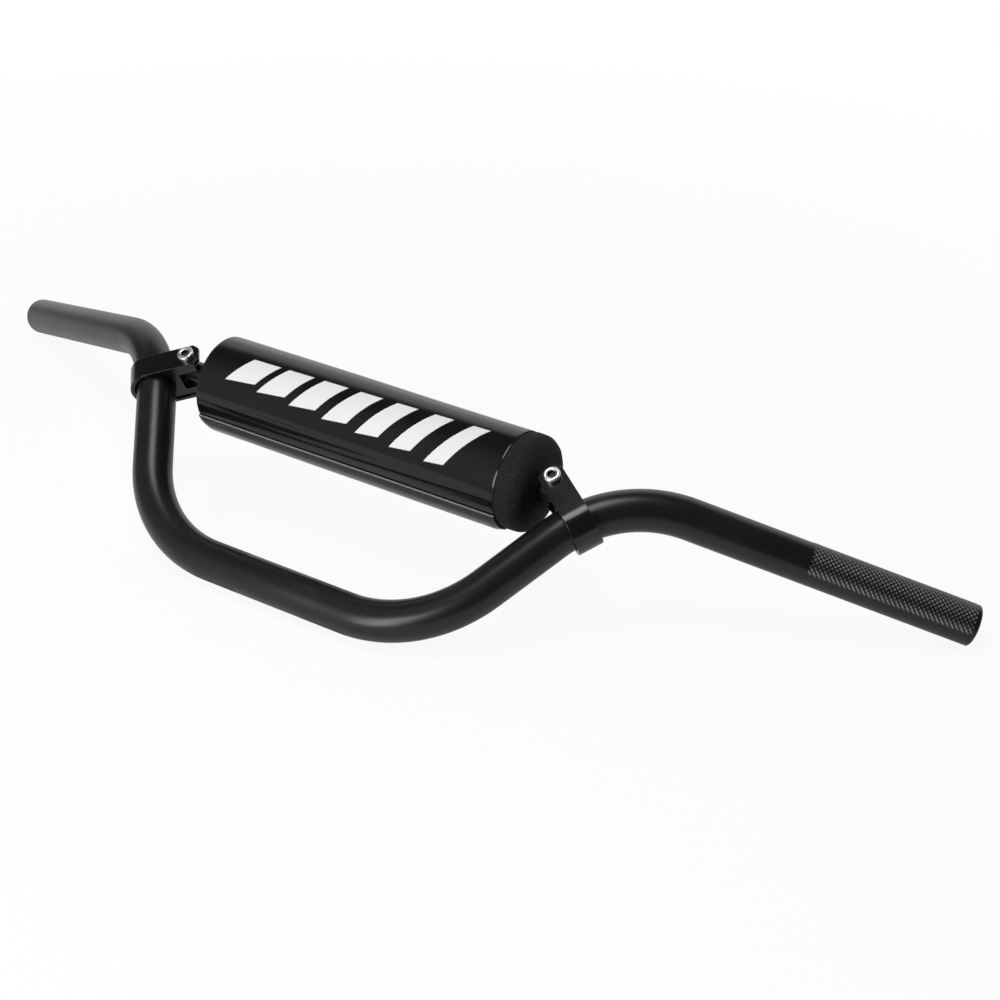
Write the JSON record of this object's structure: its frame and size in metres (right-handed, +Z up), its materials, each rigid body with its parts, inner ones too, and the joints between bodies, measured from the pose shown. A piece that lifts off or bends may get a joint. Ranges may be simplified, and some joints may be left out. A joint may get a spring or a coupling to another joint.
{
  "type": "motocross handlebar",
  "caption": "Bent tube handlebar with a clamped crossbar that carries a foam pad in a wrapped vinyl cover; black finish, one grip end knurled.",
  "frame": {"origin": "middle of the centre clamping section, on the tube's centreline", "axes": "+X along the bar's width, along the clamping section; +Z up from the bench that the bar lies on, touching it with the clamping section and both grip ends; +Y from the clamping section towards the grips. The plane of the rises leans back, about 34.2 degrees above the bench"},
  "size_m": [0.6556, 0.1854, 0.0918],
  "materials": {
    "bar_powder_coat": "satin black powder coat",
    "clamp_coating": "satin black anodised",
    "bright_fasteners": "bright stainless",
    "foam": "matte closed-cell foam",
    "cover_vinyl": "glossy vinyl sheet",
    "closure_tape": "hook and loop tape"
  },
  "bodies": {
    "root": {"handlebar_tube": "bar_powder_coat", "crossbar_tube": "bar_powder_coat", "clamp_strap_left": "clamp_coating", "clamp_block_left": "clamp_coating", "clamp_bolt_left": "bright_fasteners", "clamp_washer_left": "bright_fasteners", "clamp_nut_left": "bright_fasteners", "clamp_strap_right": "clamp_coating", "clamp_block_right": "clamp_coating", "clamp_bolt_right": "bright_fasteners", "clamp_washer_right": "bright_fasteners", "clamp_nut_right": "bright_fasteners", "pad_foam": "foam", "pad_cover": "cover_vinyl", "closure_loop_strip": "closure_tape", "closure_hook_strip": "closure_tape"}
  },
  "joints": []
}
